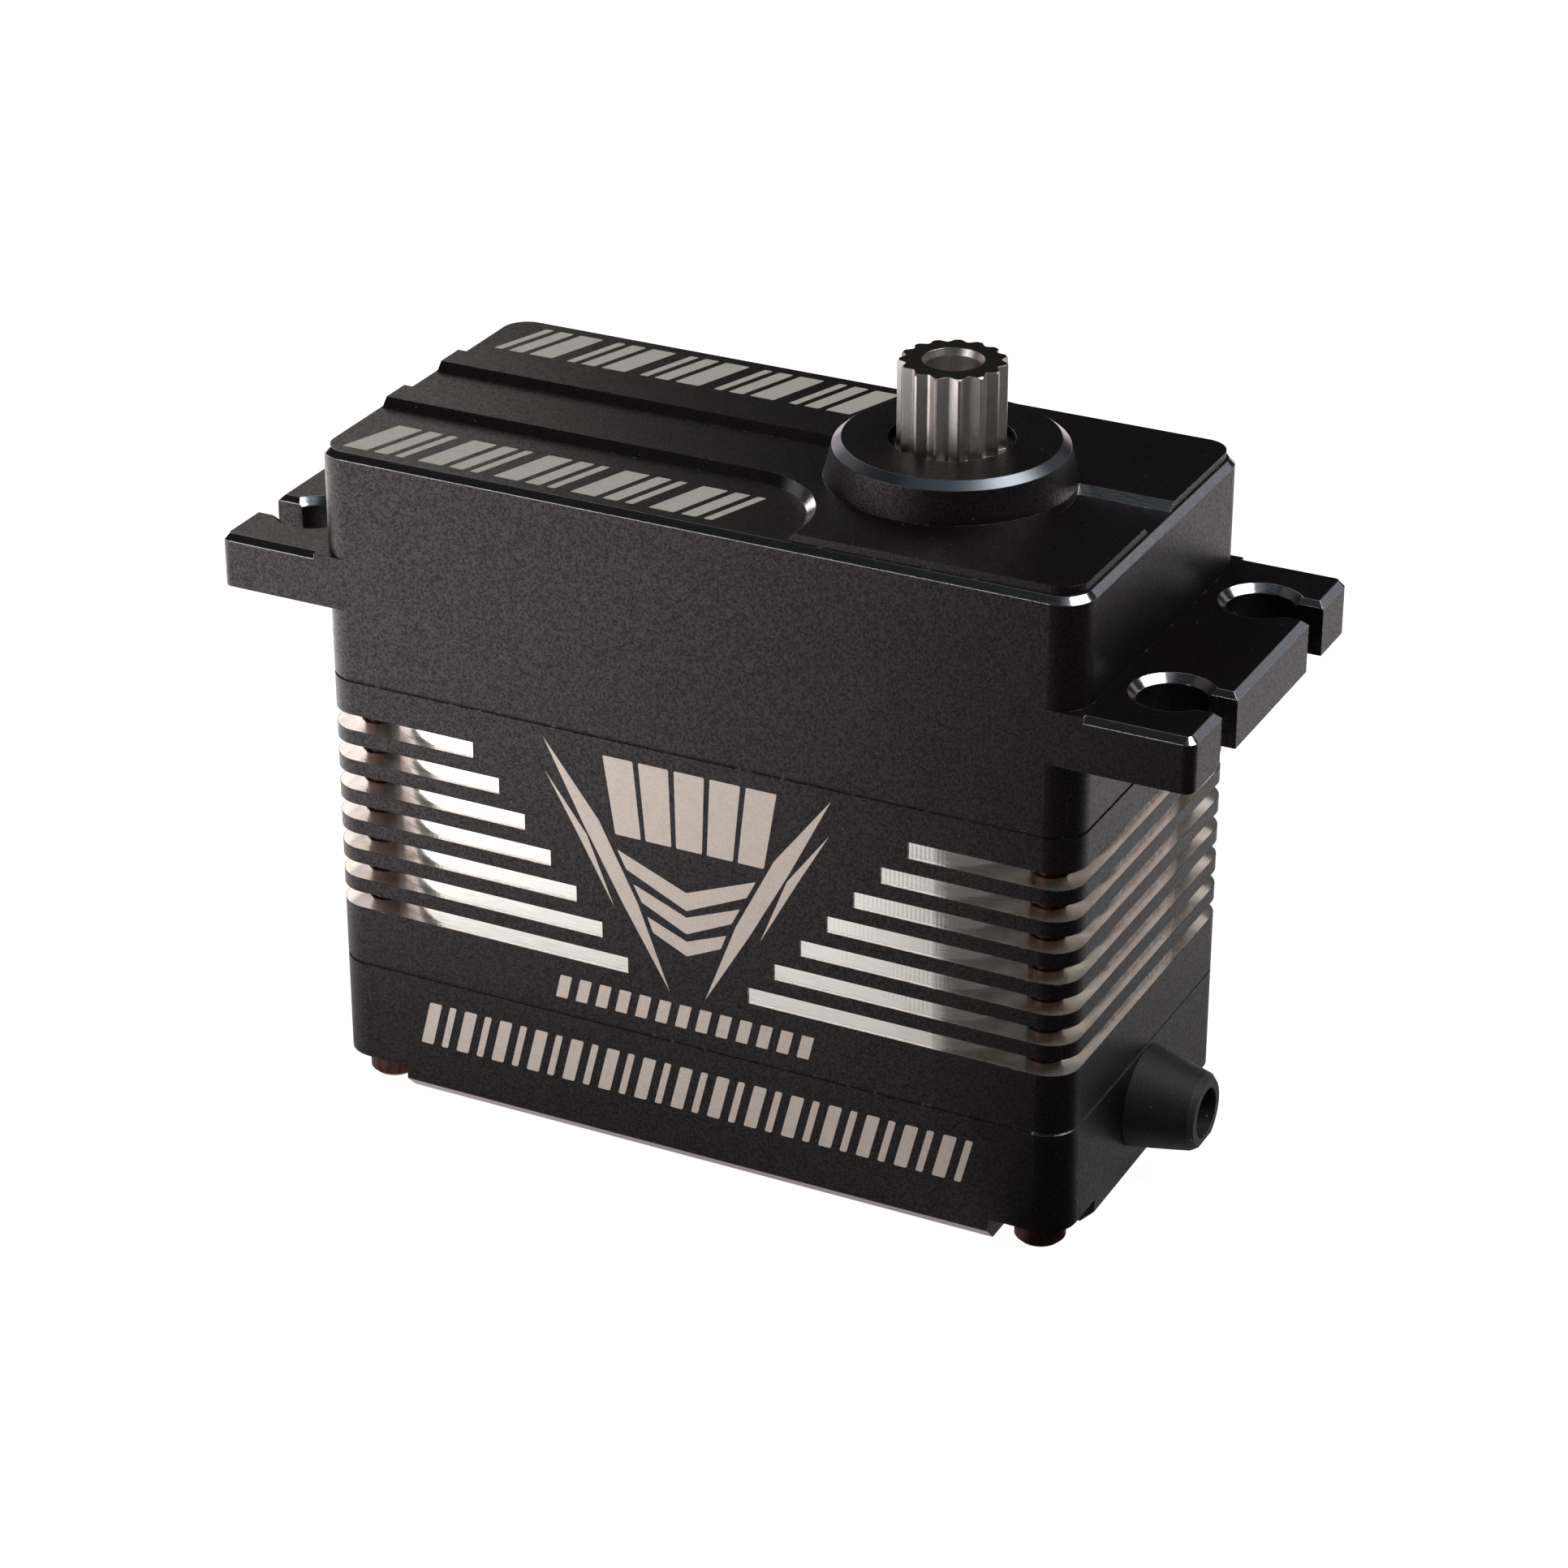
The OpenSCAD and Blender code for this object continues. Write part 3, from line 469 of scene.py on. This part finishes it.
# ------------------------------------------------------------------ etched marks
def prism(name, polys, axis, level, proud=0.008, sink=0.030, mat=M_ETCH):
    """Thin closed inlays from flat outlines in mm. axis 'y': outlines are (x, z) on the -Y side. axis 'z': (x, y) on top."""
    bm = bmesh.new()
    for pts in polys:
        lo, hi = [], []
        for a, b in pts:
            if axis == "y":
                hi.append(bm.verts.new((a * MM, (level - proud) * MM, b * MM)))
                lo.append(bm.verts.new((a * MM, (level + sink) * MM, b * MM)))
            else:
                hi.append(bm.verts.new((a * MM, b * MM, (level + proud) * MM)))
                lo.append(bm.verts.new((a * MM, b * MM, (level - sink) * MM)))
        bm.faces.new(hi)
        bm.faces.new(list(reversed(lo)))
        for i in range(len(pts)):
            j = (i + 1) % len(pts)
            bm.faces.new((hi[j], hi[i], lo[i], lo[j]))
    bmesh.ops.recalc_face_normals(bm, faces=bm.faces)
    me = bpy.data.meshes.new(name)
    bm.to_mesh(me)
    bm.free()
    me.materials.append(mat)
    o = bpy.data.objects.new(name, me)
    bpy.context.scene.collection.objects.link(o)
    return o


def rounded(pts, r, k=4):
    """A convex or concave outline with each corner cut to a small round of radius r."""
    out = []
    n = len(pts)
    for i in range(n):
        p, a, b = Vector(pts[i]), Vector(pts[i - 1]), Vector(pts[(i + 1) % n])
        u, v = (a - p).normalized(), (b - p).normalized()
        s, e = p + u * r, p + v * r
        for j in range(k + 1):
            t = j / k
            q = s * (1 - t) ** 2 + p * 2 * t * (1 - t) + e * t * t
            out.append((q.x, q.y))
    return out


def slant(x0, y0, w, h, lean, r=0.12):
    return rounded([(x0, y0), (x0 + w, y0), (x0 + w + lean, y0 + h), (x0 + lean, y0 + h)], r)


# two pads: slanted hatch, the far pad turned by half a turn
def pad_marks(x0, y0, h, lean):
    rows, x = [], x0
    for group in range(5):
        for w in (1.95, 1.15, 0.65):
            rows.append(slant(x, y0, w, h, lean))
            x += w + 0.58
        x += 0.66
    return rows


pad_a = pad_marks(-28.0, -13.15, 5.0, 1.7)
pad_c = [[(-24.6 - x, -y) for x, y in q] for q in pad_a]
marks_a = prism("pad_marks_front", pad_a, "z", Z_PAD, mat=M_ETCH_SHADED_TOP)
marks_c = prism("pad_marks_rear", pad_c, "z", Z_PAD, mat=M_ETCH_SHADED_TOP)

# centre panel: five plain bars over a stack of chevrons, between two pairs of tapered strokes
emblem = []
for x0, x1 in ((-6.6, -4.2), (-3.75, -1.35), (-0.9, 1.5), (1.95, 4.35), (4.8, 7.2)):
    emblem.append(rounded([(x0 * 0.86, -13.0), (x1 * 0.86, -13.0), (x1, -6.9), (x0, -6.9)], 0.12))

INNER = ((11.4, -6.5), (7.0, -12.2), (3.95, -18.2), (1.45, -24.8))


def inner(z):
    for (xa, za), (xb, zb) in zip(INNER, INNER[1:]):
        if za >= z >= zb:
            return xa + (xb - xa) * (za - z) / (za - zb)
    return INNER[-1][0]


for z, t in ((-14.2, 1.45), (-16.7, 1.35), (-19.1, 1.2)):
    a, b = inner(z) - 0.42, inner(z - t) - 0.42
    drop = 0.40 * a
    emblem.append(rounded([(-a, z), (0, z - drop), (a, z), (b, z - t), (0, z - drop - t), (-b, z - t)], 0.1))
for sgn in (-1, 1):
    side = list(INNER) + [(5.1, -18.6), (8.2, -12.9)]
    side = [(sgn * x, z) for x, z in side]
    emblem.append(side if sgn > 0 else list(reversed(side)))
    side = [(11.3, -9.2), (8.9, -13.4), (5.9, -18.9), (8.0, -13.6)]
    side = [(sgn * x, z) for x, z in side]
    emblem.append(side if sgn > 0 else list(reversed(side)))
x = -10.9
while x < 10.0:
    emblem.append(slant(x, -27.6, 0.95, 1.9, 0.45, 0.1))
    x += 1.64
emblem = prism("front_emblem", emblem, "y", -HY)

# lower case: a row of slanted dashes, thick and thin by turns
row = []
x = -22.6
while x < 21.5:
    row.append(slant(x, -34.5, 1.02, 3.6, 0.9, 0.16))
    row.append(slant(x + 1.72, -34.5, 0.55, 3.6, 0.9, 0.16))
    x += 3.01
lower_row = prism("front_dashes", row, "y", -HY)
for o in (marks_a, marks_c, emblem, lower_row):
    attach(o, "housing")

# ------------------------------------------------------------------ horn-screw thread
def thread(name, r_wall, r_crest, pitch, z0, z1, x0, body):
    """One helical ridge standing in from the wall of the bore."""
    bm = bmesh.new()
    seg = 40
    turns = (z1 - z0) / pitch
    n = int(turns * seg)
    rings = []
    for i in range(n + 1):
        a = 2 * math.pi * i / seg
        z = z0 + pitch * i / seg
        fade = min(1.0, i / (seg * 0.5), (n - i) / (seg * 0.5))
        rc = r_wall - (r_wall - r_crest) * max(0.08, fade)
        c, s = math.cos(a), math.sin(a)
        prof = ((r_wall + 0.03, -0.33), (rc, -0.05), (rc, 0.05), (r_wall + 0.03, 0.33))
        rings.append([bm.verts.new(((x0 + r * c) * MM, r * s * MM, (z + dz) * MM)) for r, dz in prof])
    for i in range(n):
        a, b = rings[i], rings[i + 1]
        for j in range(4):
            k = (j + 1) % 4
            bm.faces.new((a[j], a[k], b[k], b[j]))
    bm.faces.new(list(reversed(rings[0])))
    bm.faces.new(rings[-1])
    bmesh.ops.recalc_face_normals(bm, faces=bm.faces)
    me = bpy.data.meshes.new(name)
    bm.to_mesh(me)
    bm.free()
    me.materials.append(M_SPLINE)
    o = bpy.data.objects.new(name, me)
    bpy.context.scene.collection.objects.link(o)
    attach(o, body)
    return o


thread("horn_screw_thread", 2.0, 1.66, 0.7, 11.2, Z_TIP - 3.4, OUT_X, "output")


# ------------------------------------------------------------------ studio
def floor_material():
    """Pale table lit from below, its glow painted light: brighter to the left, with a painted shadow close to the
    object; plain white to the eye.
    """
    m = Mat("studio_floor")
    g = m.noise(0.02, 2.0, 0.5)
    col = m.mix(g, (0.28, 0.28, 0.28), (0.30, 0.30, 0.30))
    # painted light: the glow seen by the object grows towards the left
    left = m.ramp(m.x, 5.0, -85.0, 0.98, 2.5)
    # painted shadow: the glow drops close to the case
    painted_shade_near = m.ramp(m.case_depth(), 4.0, 60.0, 0.32, 1.0)
    path = m.t.nodes.new("ShaderNodeLightPath")
    m.put(m.mixf(path.outputs["Is Camera Ray"], m.mul(left, painted_shade_near), 1.0), m.p.inputs["Emission Strength"])
    return m.finish(col, 0.8, 0.0, None, Specular_IOR_Level=0.1, Emission_Color=(1.0, 0.97, 0.96, 1.0))


def plane(name, size, z, mat):
    bm = bmesh.new()
    bmesh.ops.create_grid(bm, x_segments=8, y_segments=8, size=size)
    me = bpy.data.meshes.new(name)
    bm.to_mesh(me)
    bm.free()
    me.materials.append(mat)
    o = bpy.data.objects.new(name, me)
    o.location = (0, 0, z * MM)
    bpy.context.scene.collection.objects.link(o)
    return o


def painted_reflection_shade_material():
    """Soft-edged black card, hidden from the camera and casting no shadow, that paints shade into the object's
    reflections: dark to the front right of the object, clear elsewhere.
    """
    m = Mat("painted_reflection_shade")
    ang = m.mul(m.math("ARCTAN2", m.add(m.y, 12.0), m.sub(m.x, 27.0)), 180.0 / math.pi)
    painted_shade_near = m.mixf(m.ramp(ang, 20.0, 58.0), 1.0, 0.22)
    f = m.mul(m.mul(m.ramp(ang, -132.0, -110.0), painted_shade_near), m.ramp(ang, 135.0, 105.0))
    m.t.links.remove(m.out.inputs[0].links[0])
    clear = m.t.nodes.new("ShaderNodeBsdfTransparent")
    black = m.t.nodes.new("ShaderNodeBsdfDiffuse")
    black.inputs[0].default_value = (0.01, 0.01, 0.01, 1)
    mx = m.t.nodes.new("ShaderNodeMixShader")
    m.put(m.mul(f, 0.92), mx.inputs[0])
    m.t.links.new(clear.outputs[0], mx.inputs[1])
    m.t.links.new(black.outputs[0], mx.inputs[2])
    m.t.links.new(mx.outputs[0], m.out.inputs[0])
    return m.m


floor = plane("floor", 6.0, Z_FLOOR - 0.02, floor_material())
# painted shade in reflections: a black card the camera never sees
painted_reflection_shade_card = plane("painted_reflection_shade_card", 0.8, Z_FLOOR + 0.05, painted_reflection_shade_material())
for k in ("camera", "shadow", "transmission", "volume_scatter"):
    setattr(painted_reflection_shade_card, "visible_" + k, False)


def area(name, az, el, dist, sx, sy, radiance, color=(1, 1, 1)):
    """Soft box at azimuth az (from +X, anticlockwise) and elevation el, aimed at the object."""
    d = Vector((math.cos(math.radians(az)) * math.cos(math.radians(el)),
                math.sin(math.radians(az)) * math.cos(math.radians(el)), math.sin(math.radians(el))))
    li = bpy.data.lights.new(name, "AREA")
    li.shape = "RECTANGLE"
    li.size, li.size_y = sx, sy
    li.energy = radiance * math.pi * sx * sy
    li.color = color
    o = bpy.data.objects.new(name, li)
    o.location = d * dist
    o.rotation_euler = d.to_track_quat("Z", "Y").to_euler()
    bpy.context.scene.collection.objects.link(o)
    return o


area("softbox_right", 10, 52, 1.0, 0.75, 0.55, 5.5, (1.0, 0.985, 0.96))
area("softbox_back_left", 148, 43, 1.0, 0.62, 0.54, 0.55, (1.0, 0.965, 0.92))
area("card_back_left", 138, 27, 0.21, 0.085, 0.07, 1.5, (1.0, 0.96, 0.90))
area("softbox_overhead", 0, 89, 1.0, 0.85, 0.85, 0.28, (0.80, 0.90, 1.0))
area("softbox_front_left", -122, 20, 1.0, 0.50, 0.34, 3.2, (1.0, 0.97, 0.95))
area("softbox_far_right", 67, 22, 1.0, 0.30, 0.26, 0.32, (0.85, 0.93, 1.0))
area("strip_horizon_left", 152, 6, 1.0, 0.40, 0.22, 2.4, (1.0, 0.97, 0.93))

world = bpy.data.worlds.new("studio")
bpy.context.scene.world = world
world.use_nodes = True
wt = world.node_tree
wt.nodes.clear()
wo = wt.nodes.new("ShaderNodeOutputWorld")
dim = wt.nodes.new("ShaderNodeBackground")
dim.inputs[0].default_value = (0.92, 0.96, 1, 1)
dim.inputs[1].default_value = 0.016
pale = wt.nodes.new("ShaderNodeBackground")
pale.inputs[0].default_value = (1.0, 1.0, 1.0, 1)
pale.inputs[1].default_value = 1.0
lp = wt.nodes.new("ShaderNodeLightPath")
mx = wt.nodes.new("ShaderNodeMixShader")
wt.links.new(lp.outputs["Is Camera Ray"], mx.inputs[0])
wt.links.new(dim.outputs[0], mx.inputs[1])
wt.links.new(pale.outputs[0], mx.inputs[2])
wt.links.new(mx.outputs[0], wo.inputs[0])

cam = bpy.data.cameras.new("camera")
cam.sensor_width = 36.0
cam.lens = 5556.015 / 1932 * 36.0
cam.clip_start = 0.01
cam.clip_end = 50
co = bpy.data.objects.new("camera", cam)
co.location = (0.13252, -0.26429, 0.13612)
co.rotation_euler = (math.radians(90 - 26.973), 0, math.radians(26.546))
bpy.context.scene.collection.objects.link(co)
bpy.context.scene.camera = co

vs = bpy.context.scene.view_settings
vs.view_transform = "Standard"
vs.look = "None"
vs.exposure = 0.0
vs.gamma = 1.0

bpy.context.view_layer.update()
